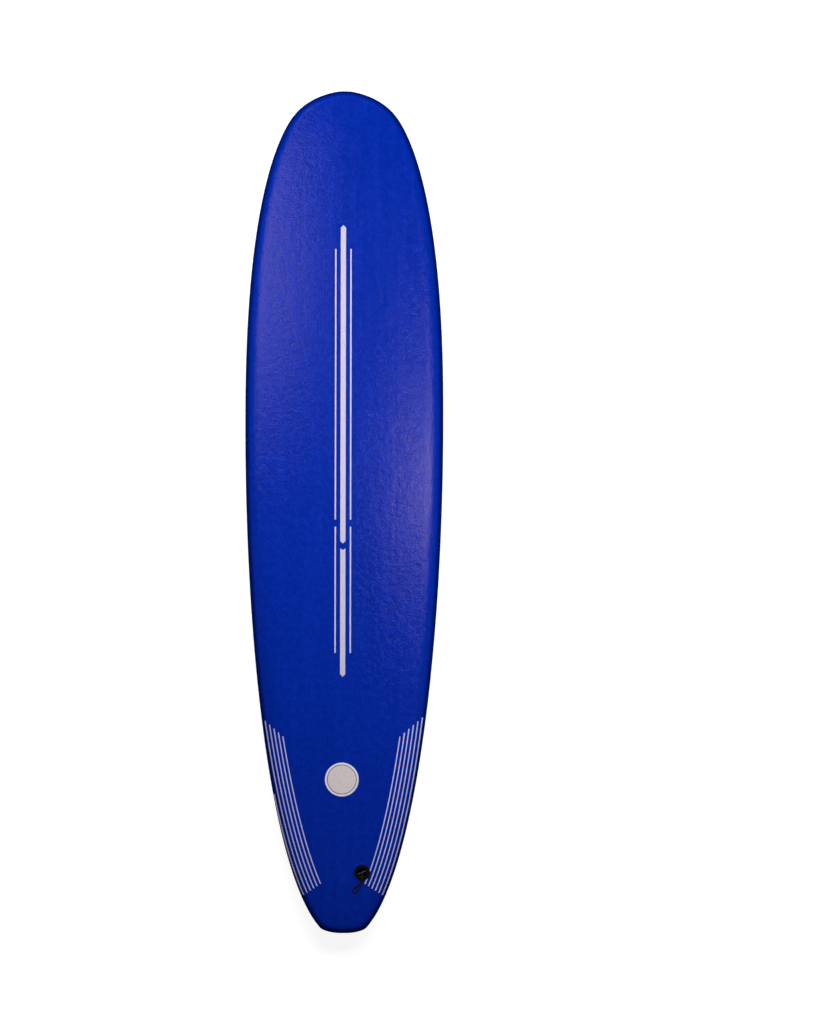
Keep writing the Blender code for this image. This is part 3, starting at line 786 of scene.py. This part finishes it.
def makePlug():
    size = leashPlug
    gap, seat = size["gap"], size["proud"] - size["flangeThickness"]
    edges = {name: size[name] / 2 for name in ("bore", "barrel", "flange")}
    edges["axis"] = 0.0
    levels = {"bottom": -size["depth"], "floor": -size["depth"] + size["floor"], "deck": 0.0,
              "seat": seat, "top": size["proud"]}
    profile = [(edges[edge] + out, levels[level] + up)
               for edge, level, *steps in size["profile"] for out, up in steps]
    cup = turnedPiece("plugCup", profile, size["sides"])

    def barAcross(grow):
        length = size["bore"] + 2 * size["barSocket"] + 2 * grow
        return rod(size["barSides"], size["bar"] / 2 + grow, length, -size["barDrop"], math.pi / 2)

    cutAway(cup, barAcross(gap))
    bar = barAcross(0.0)
    bar.name = "plugBar"
    roundEdges(bar, size["barEdge"])
    pocket = turnedPiece("plugPocket", [
        (edges["barrel"] + gap, levels["bottom"] - gap), (edges["barrel"] + gap, seat - gap),
        (edges["flange"] + gap, seat - gap), (edges["flange"] + gap, size["cutTo"])], size["sides"])
    place = fittingFrame("leash_plug_face", size["turn"], size["mountAt"])
    for piece in (cup, bar, pocket):
        putAt(piece, place)
    return cup, bar, pocket


plugCup, plugBar, plugPocket = makePlug()
for piece in (tailLinesRight, deckPiece):
    cutAway(piece, copyOf(plugPocket, "plugCutter"))
bpy.data.objects.remove(plugPocket)
print("plug set in")


# Fin boxes: moulded white boxes under the tail, with two tab slots and two grub screws each

finBox = {
    "flange": (0.155, 0.039), "corner": 0.009, "thickness": 0.0026, "proud": 0.0005,
    "tub": (0.122, 0.026), "tubDepth": 0.019,
    "slot": (0.028, 0.0072), "slotDepth": 0.0145, "slotSpacing": 0.070,
    "groove": ((0.0028, 0.0), (0.0005, -0.0004), (0.0006, 0.0), (0.0005, 0.0004)),
    "edge": 0.0005, "edgeSteps": 3, "roundedAbove": 50.0,  # degrees
    "flangeSteps": 10, "tubSteps": 14,  # round each corner
    "gap": 0.0003,
    "cutTo": 0.010,  # height that slots and pockets are cut up to
    "screw": {"diameter": 0.0046, "length": 0.0060, "sunk": 0.0008, "tilt": 20.0,
              "offset": 0.0093, "key": 0.0024, "keyDepth": 0.0024, "keyRise": 0.0001,
              "edge": 0.0003, "sides": 32, "holeRise": 0.004},
    "boxes": {"centre": 0.0, "right": -1.5, "left": 1.5},  # toe-in, degrees
}


def grubPlace(y):
    screw = finBox["screw"]
    mouth = Matrix.Translation((screw["offset"], y, 0.0))
    return mouth @ Matrix.Rotation(math.radians(screw["tilt"]), 4, "Y")


def makeFinBox():
    size, screw = finBox, finBox["screw"]
    body = roundedBar("finBox", *size["flange"], size["corner"], -size["thickness"], 0.0,
                      steps=size["flangeSteps"])
    pick(body, "FACE", lambda corners: min(corner.z for corner in corners) > -1e-6)
    for inset, depth in size["groove"]:
        bpy.ops.mesh.inset(thickness=inset, depth=depth)
    setMode("OBJECT")
    tub = roundedBar("tub", *size["tub"], size["tub"][1] / 2, -size["tubDepth"] - size["proud"],
                     -size["thickness"] / 2, steps=size["tubSteps"])
    combine(body, tub, "UNION")
    for y in (-size["slotSpacing"] / 2, size["slotSpacing"] / 2):
        cutAway(body, roundedBar("slot", *size["slot"], size["slot"][1] / 2,
                                 -size["slotDepth"] - size["proud"], size["cutTo"], y))
        deep = screw["sunk"] + screw["length"] + size["gap"]
        hole = rod(screw["sides"], screw["diameter"] / 2 + size["gap"], deep + screw["holeRise"])
        middle = Matrix.Translation((0.0, 0.0, (screw["holeRise"] - deep) / 2))
        putAt(hole, grubPlace(y) @ middle)
        cutAway(body, hole)
    roundEdges(body, size["edge"], size["edgeSteps"], size["roundedAbove"])
    inEditMode(body, faceOutward)
    return body


def makeScrew():
    screw = finBox["screw"]
    piece = rod(screw["sides"], screw["diameter"] / 2, screw["length"],
                -screw["sunk"] - screw["length"] / 2)
    piece.name = "grubScrew"
    roundEdges(piece, screw["edge"])
    cutAway(piece, rod(6, screw["key"] / 2, screw["keyDepth"],
                       -screw["sunk"] + screw["keyRise"] - screw["keyDepth"] / 2))
    return piece


boxModel = makeFinBox()
screwModel = makeScrew()
finBoxPieces = []
screwPieces = []


def setFinBox(name, toe):
    size, gap = finBox, finBox["gap"]
    place = fittingFrame("fin_box_" + name + "_face", toe)
    box = copyOf(boxModel, "finBox" + name.capitalize())
    putAt(box, place)
    finBoxPieces.append((box, "fin_box_" + name))
    for end, y in (("front", -size["slotSpacing"] / 2), ("rear", size["slotSpacing"] / 2)):
        screw = copyOf(screwModel, "finScrew" + name.capitalize() + end.capitalize())
        putAt(screw, place @ grubPlace(y))
        screwPieces.append((screw, "fin_screw_" + name + "_" + end))
    pocket = roundedBar("pocket", size["flange"][0] + 2 * gap, size["flange"][1] + 2 * gap,
                        size["corner"] + gap, -size["thickness"] - gap, size["cutTo"],
                        steps=size["flangeSteps"])
    putAt(pocket, place)
    cutAway(slickPiece, pocket)


for name, toe in finBox["boxes"].items():
    setFinBox(name, toe)
for piece in (boxModel, screwModel):
    bpy.data.objects.remove(piece)
print("fin boxes set in")


# Share of each point of the deck in the rim, from 0 inside to 1 at the outline: it drives the
# painted shade and the loss of shine at the rail

rim = {
    "attribute": "nearRim",
    "reach": 0.024,
    "samples": 1600,  # of the outline
    "dull": (0.0, 0.5),  # shares between which the shine fades
    "dark": (0.25, 0.925),  # shares between which the colour fades to the painted rim shade
    # painted shade: the deck's colour darkens to this toward the outline
    "colour": (0.0003, 0.0075, 0.145),
    "roughness": 0.6,
}


def markRim(piece):
    outline = outlinePoints(rim["samples"])
    tree = kdtree.KDTree(len(outline))
    for k, point in enumerate(outline):
        tree.insert(point.to_3d(), k)
    tree.balance()
    shares = [max(1.0 - tree.find((abs(vertex.co.x), vertex.co.y, 0.0))[2] / rim["reach"], 0.0)
              for vertex in piece.data.vertices]
    attribute = piece.data.attributes.new(rim["attribute"], "FLOAT", "POINT")
    attribute.data.foreach_set("value", shares)


markRim(deckPiece)
print("rim marked")


# Finishes: each mixes layers, most of them noises, into its colour, roughness and relief

noises = {  # scale, detail and roughness, then how it is stretched
    "blotches": (60.0, 2.0, 0.5),
    "flecks": (190.0, 3.0, 0.6),
    "streaks": (1.0, 3.0, 0.55, (45.0, 2.2, 20.0)),
    "wear": (180.0, 3.0, 0.6),
    "scuffs": (1.0, 4.0, 0.65, (900.0, 14.0, 60.0)),
    "clouds": (9.0, 3.0, 0.5),
    "boxGrain": (1400.0, 3.0, 0.6),
    "flow": (40.0, 2.0, 0.5),
    "screwLines": (1.0, 3.0, 0.5, (4000.0, 500.0, 500.0)),
    "barLines": (1.0, 3.0, 0.5, (400.0, 5000.0, 5000.0)),
    "plugGrain": (1600.0, 3.0, 0.6),
    "fibres": (1.0, 3.0, 0.6, (3000.0, 3000.0, 900.0)),
    "rings": (1.0, 3.0, 0.6, (900.0, 9.0, 420.0)),
    "figure": (3.0, 3.0, 0.5, (1.0, 0.35, 7.0)),
    "backingCells": (1100.0, 3.0, 0.6),
}
grain = {
    "cell": 0.0058,  # of the foam's pebbles; wander, its scale and crease count in cells
    "wander": 0.9, "wanderScale": 0.35, "wanderDetail": 2.0,
    "crease": 0.28,
}
beadsPerMetre = 280.0
lipWidth = 0.009  # of the foam that swells round the leash plug


def leatherGrain(place):
    # pebbled skin of heat-pressed foam: soft cells with creases between them
    cell = grain["cell"]
    wander = place.node("TexNoise", {},
                        {"Vector": place, "Scale": grain["wanderScale"] / cell,
                         "Detail": grain["wanderDetail"]}, "Color")
    bent = wander.node("VectorMath", {"operation": "MULTIPLY_ADD"},
                       {0: wander, 1: (cell * grain["wander"],) * 3, 2: place})
    return cellEdges(bent, 1.0 / cell).above(0.0, grain["crease"])


def layerOf(place, name):
    if name == "pebbles":
        return leatherGrain(place)
    if name == "beads":
        return cellEdges(place, beadsPerMetre)
    if name == "lip":
        edge = leashPlug["flange"] / 2
        return 1.0 - distanceFrom(place, leashPlug["at"]).above(edge, edge + lipWidth)
    scale, detail, rough, *stretch = noises[name]
    if stretch:
        place = stretched(place, *stretch)
    return place.node("TexNoise", {}, {"Vector": place, "Scale": scale, "Detail": detail,
                                       "Roughness": rough})


# What a finish says: "tone" is the share of each layer, then the span over which the first of its
# "colours" gives way to the second; "rough" is the least roughness, then what layers add to it and
# over which span; "relief" is its height in metres, then the layers that it follows.

middle = (0.3, 0.7)
woodLayers = {"rings": 0.6, "figure": 0.4}


def foamed(least, dark, colour, **sockets):
    # foam skin: patches and flecks in its sheen, a swelling round the leash plug, and painted shade
    # in the pebbles' creases
    return {"tone": ({"blotches": 0.34, "flecks": 0.38, "streaks": 0.18, "pebbles": 0.10},
                     (0.39, 0.65)),
            "rough": (least, (0.07, {"blotches": 0.5, "streaks": 0.5}, (0.35, 0.65)),
                      (0.05, {"flecks": 1.0}, middle)),
            "relief": (1.0, {"pebbles": 0.00016, "flecks": 0.00024, "blotches": 0.0008,
                             "streaks": 0.0004, "lip": 0.0011}),
            "colours": (dark, colour), "sockets": sockets}


def printed(dark, colour, roughness, specular=0.3):
    # ink, with the grain of the foam in it: painted shade in the pebbles' creases, and wear
    return {"tone": ({"pebbles": 0.6, "wear": 0.4}, (0.2, 0.6)), "colours": (dark, colour),
            "relief": (0.00020, {"pebbles": 1.0}),
            "sockets": {"Roughness": roughness, "Specular_IOR_Level": specular}}


def speckled(layer, relief, least, added, dark, colour, **sockets):
    # plastic, metal, cord or foam that follows one layer in everything
    return {"tone": ({layer: 1.0}, middle), "rough": (least, (added, {layer: 1.0}, middle)),
            "relief": (relief, {layer: 1.0}), "colours": (dark, colour), "sockets": sockets}


finishes = {
    "deckFoam": foamed(0.15, (0.0004, 0.0205, 0.335), (0.0008, 0.0280, 0.440),
                             Specular_IOR_Level=0.26, Specular_Tint=(1.0, 0.75, 1.0)),
    "edgeBand": foamed(0.36, (0.009, 0.046, 0.120), (0.012, 0.060, 0.155),
                             Specular_IOR_Level=0.25),
    "deckInk": printed((0.59, 0.55, 0.67), (0.67, 0.63, 0.75), 0.40),
    "tailInk": printed((0.52, 0.51, 0.80), (0.61, 0.60, 0.90), 0.40),
    "badgeRing": printed((0.020, 0.020, 0.080), (0.030, 0.032, 0.105), 0.45),
    "bottomInk": printed((0.009, 0.010, 0.008), (0.014, 0.015, 0.012), 0.33, 0.4),
    "slick": {  # smooth plastic sheet with fine marks along the board
        "tone": ({"clouds": 0.7, "scuffs": 0.3}, middle),
        "rough": (0.26, (0.14, {"scuffs": 1.0}, (0.35, 0.75))),
        "relief": (0.00003, {"scuffs": 0.5, "clouds": 0.5}),
        "colours": ((0.755, 0.765, 0.020), (0.815, 0.820, 0.026)),
        "sockets": {"Specular_IOR_Level": 0.45}},
    "finBox": {
        **speckled("boxGrain", 0.00003, 0.3, 0.1, (0.83, 0.83, 0.82), (0.88, 0.88, 0.87)),
        "tone": ({"flow": 1.0}, middle)},
    "screwSteel": speckled("screwLines", 0.00001, 0.24, 0.15, (0.48, 0.48, 0.49),
                                 (0.60, 0.60, 0.61), Metallic=1.0),
    "barSteel": speckled("barLines", 0.00001, 0.34, 0.12, (0.17, 0.16, 0.16),
                               (0.26, 0.25, 0.25), Metallic=1.0),
    "plugPlastic": speckled("plugGrain", 0.00003, 0.44, 0.12, (0.003, 0.003, 0.0035),
                                  (0.006, 0.006, 0.0065), Specular_IOR_Level=0.18),
    "string": speckled("fibres", 0.00008, 0.6, 0.15, (0.007, 0.007, 0.008),
                             (0.016, 0.016, 0.017), Specular_IOR_Level=0.25),
    "backingFoam": speckled("backingCells", 0.0001, 0.6, 0.15, (0.80, 0.80, 0.80),
                                  (0.88, 0.88, 0.88), Specular_IOR_Level=0.3),
    "beadedFoam": {
        "tone": ({"beads": 1.0}, (0.0, 0.12)),
        "rough": (0.55, (0.2, {"beads": 1.0}, (0.0, 0.3))),
        "relief": (0.0003, {"beads": 1.0}, (0.0, 0.3)),
        "colours": ((0.78, 0.78, 0.77), (0.90, 0.90, 0.89)),
        "sockets": {"Specular_IOR_Level": 0.3}},
    "stringerWood": {
        "tone": (woodLayers,),
        "rough": (0.6, (0.15, woodLayers, middle)),
        "relief": (0.0001, woodLayers),
        "stops": [(0.32, (0.36, 0.22, 0.11)), (0.52, (0.58, 0.40, 0.22)),
                  (0.72, (0.70, 0.52, 0.32))],
        "sockets": {"Specular_IOR_Level": 0.3}},
}


def dullRimWithPaintedShade(shader, colours, relief):
    # foam stretched round the rail has no shine, and painted shade darkens it toward the outline
    nearRim = relief.node("Attribute", {"attribute_name": rim["attribute"]}, {}, "Fac")
    shaded = nearRim.above(*rim["dark"]).tint(colours, rim["colour"])
    dull = relief.node("BsdfPrincipled", {},
                       {"Base Color": shaded, "Roughness": rim["roughness"],
                        "Specular IOR Level": 0.0, "Normal": relief})
    mixed = nearRim.node("MixShader", {},
                         {0: nearRim.above(*rim["dull"]),
                          1: Wire(relief.tree, shader.outputs["BSDF"]), 2: dull})
    output = relief.tree.nodes["Material Output"]
    relief.tree.links.new(mixed.socket, output.inputs["Surface"])


def makeFinish(name, looks):
    shader, place = newMaterial(name, **looks["sockets"])
    layers = {}

    def mixed(shares, span=None):
        for layer in shares:
            if layer not in layers:
                layers[layer] = layerOf(place, layer)
        total = sumOf(layers[layer] * share for layer, share in shares.items())
        return total.above(*span) if span else total

    colours = mixed(*looks["tone"])
    if "stops" in looks:
        colours = colours.node("ValToRGB", {"stops": looks["stops"]}, {0: colours})
    else:
        colours = colours.tint(*looks["colours"])
    plug(shader, "Base Color", colours)
    if "rough" in looks:
        least, *spreads = looks["rough"]
        rough = sumOf(mixed(*spread) * added for added, *spread in spreads)
        plug(shader, "Roughness", rough + least)
    height, *followed = looks["relief"]
    relief = bumped(mixed(*followed), height)
    plug(shader, "Normal", relief)
    # the deck's rail gets painted shade toward the outline, and loses its shine
    if name == "deckFoam":
        dullRimWithPaintedShade(shader, colours, relief)


def badgeFinish():
    # a pale printed round, a shade warmer inside its ring, with painted shade in its creases
    shader, place = newMaterial("badge", Roughness=badge["roughness"],
                                Specular_IOR_Level=badge["specular"])
    distance = distanceFrom(place, badge["at"])
    outside = distance.above(ring - badge["borderBlur"], ring + badge["borderBlur"])
    field = outside.tint(badge["field"], badge["border"])
    pebbles = leatherGrain(place)
    # painted shade: the colour darkens in the pebbles' creases
    creaseShade = pebbles.above(*badge["creaseSpan"]).tint(badge["creaseShade"], (1.0, 1.0, 1.0))
    shaded = field.node("Mix", {"data_type": "RGBA", "blend_type": "MULTIPLY"},
                        {0: 1.0, 6: field, 7: creaseShade}, 2)
    plug(shader, "Base Color", shaded)
    plug(shader, "Normal", bumped(pebbles, badge["relief"]))


for name, looks in finishes.items():
    makeFinish(name, looks)
badgeFinish()
finishPiece(deckPiece, "deckFoam", "deck_foam", "deck_skin")
finishPiece(bandPiece, "edgeBand", "band_foam", "rail_band")
finishPiece(deckStripesPiece, "deckInk", "deck_foam")
finishPiece(tailLinesLeft, "tailInk", "deck_foam")
finishPiece(tailLinesRight, "tailInk", "deck_foam")
finishPiece(badgePlate, "badge", "deck_foam")
finishPiece(badgeRing, "badgeRing", "deck_foam")
finishPiece(slickPiece, "slick", "slick", "bottom_slick")
finishPiece(bottomInkPiece, "bottomInk", "slick")
for piece, node in finBoxPieces:
    finishPiece(piece, "finBox", "fin_box_plastic", node, flatFaces=True)
for piece, node in screwPieces:
    finishPiece(piece, "screwSteel", "screw_steel", node, flatFaces=True)
finishPiece(plugBar, "barSteel", "bar_steel", "leash_plug_bar", flatFaces=True)
finishPiece(plugCup, "plugPlastic", "plug_plastic", "leash_plug_cup", flatFaces=True)

# the string's strands are in its mesh, its fibres in the finish
finishPiece(stringPiece, "string", "string_cord", "leash_string", sharp=60.0)

# layers under the skins keep their CAD shapes: beaded foam, plywood stringers, backing sheet
hidden = {
    "beadedFoam": ["eps_blank_left_inner", "eps_blank_left_outer",
                         "eps_blank_right_inner", "eps_blank_right_outer"],
    "stringerWood": ["stringer_left", "stringer_centre", "stringer_right"],
    "backingFoam": ["bottom_backing"],
}
for name, nodes in hidden.items():
    for node in nodes:
        for holder in bpy.data.objects[node].material_slots:
            holder.material = bpy.data.materials[name + "Finish"]
print("finishes done")


# Stage: pale floor, soft lamps and a plain studio sky

stageSetup = {
    "floorSize": 90.0,
    "floorDrop": 0.0004,
    "floorTone": 0.70,  # for the light that it throws back
    "floorShown": 0.36,  # for the camera and for reflections
    "glow": 0.890,  # of plain white, added to what is seen of the floor
    "zenith": 0.03,  # of the sky, as the light on the board
    "horizon": 0.18,
    "skyRise": (0.12, 0.45),  # heights between which the horizon's tone gives way
    "backdrop": 0.92,  # tone that shows behind the far end of the floor
    "backdropEdge": (0.09, 0.14),
}
lamps = {
    "keyLamp": {"at": (-0.50, -4.28, 4.33), "aim": (0.0, -0.5, 0.0), "size": (4.0, 4.0),
                "watts": 275, "mirrored": False},
    "leftLamp": {"at": (0.96, -0.63, 1.35), "aim": (0.96, -0.63, 0.0), "size": (1.34, 0.52),
                 "watts": 8.5},
    "noseLamp": {"at": (0.71, -1.60, 1.30), "aim": (0.71, -1.60, 0.0), "size": (0.32, 0.62),
                 "watts": 3.3},
    "rightLamp": {"at": (-1.00, -0.085, 1.50), "aim": (-1.00, -0.085, 0.0), "size": (1.23, 0.28),
                  "watts": 11.4},
}


def seenRays(tree):
    # 1 for what the camera sees straight, in a reflection or through glass
    rays = tree.nodes.new("ShaderNodeLightPath")
    camera, glossy, through = [Wire(tree, rays.outputs[name]) for name in
                               ("Is Camera Ray", "Is Glossy Ray", "Is Transmission Ray")]
    return camera.maths("MAXIMUM", camera.maths("MAXIMUM", camera, glossy), through)


def addFloor():
    deselectAll()
    bpy.ops.mesh.primitive_plane_add(size=stageSetup["floorSize"],
                                     location=(0.0, 0.0, -stageSetup["floorDrop"]))
    floor = bpy.context.object
    floor.name = "studioFloor"
    material = bpy.data.materials.new("studioFloorFinish")
    material.use_nodes = True
    tree = material.node_tree
    tree.nodes.clear()
    output = tree.nodes.new("ShaderNodeOutputMaterial")
    seen = seenRays(tree)
    dull = (stageSetup["floorTone"],) * 3
    pale = (stageSetup["floorShown"],) * 3
    lit = seen.node("BsdfDiffuse", {}, {"Color": seen.tint(dull, pale)})
    white = seen.node("Emission", {}, {"Strength": seen * stageSetup["glow"]})
    both = seen.node("AddShader", {}, {0: lit, 1: white})
    tree.links.new(both.socket, output.inputs["Surface"])
    floor.data.materials.append(material)


def addLamp(name, at, aim, size, watts, mirrored=True):
    data = bpy.data.lights.new(name, "AREA")
    data.shape = "RECTANGLE"
    data.size, data.size_y = size
    data.energy = watts
    lamp = addObject(name, data)
    lamp.location = at
    lamp.rotation_euler = (Vector(aim) - Vector(at)).to_track_quat("-Z", "Y").to_euler()
    lamp.visible_camera = False
    lamp.visible_glossy = mirrored


def addSky():
    world = bpy.data.worlds.new("studioSky")
    bpy.context.scene.world = world
    world.use_nodes = True
    tree = world.node_tree
    background = tree.nodes["Background"]
    coords = tree.nodes.new("ShaderNodeTexCoord")
    direction = Wire(tree, coords.outputs["Generated"])
    height = direction.node("SeparateXYZ", {}, {0: direction}, 2)
    low, high, shown = [(stageSetup[name],) * 3 for name in ("horizon", "zenith", "backdrop")]
    sky = height.above(*stageSetup["skyRise"]).tint(low, high)
    far = seenRays(tree) * (1.0 - height.above(*stageSetup["backdropEdge"]))
    tree.links.new(far.tint(sky, shown).socket, background.inputs["Color"])


addFloor()
for name, lamp in lamps.items():
    addLamp(name, **lamp)
addSky()
bpy.context.scene.view_settings.view_transform = "Standard"
print("stage done")
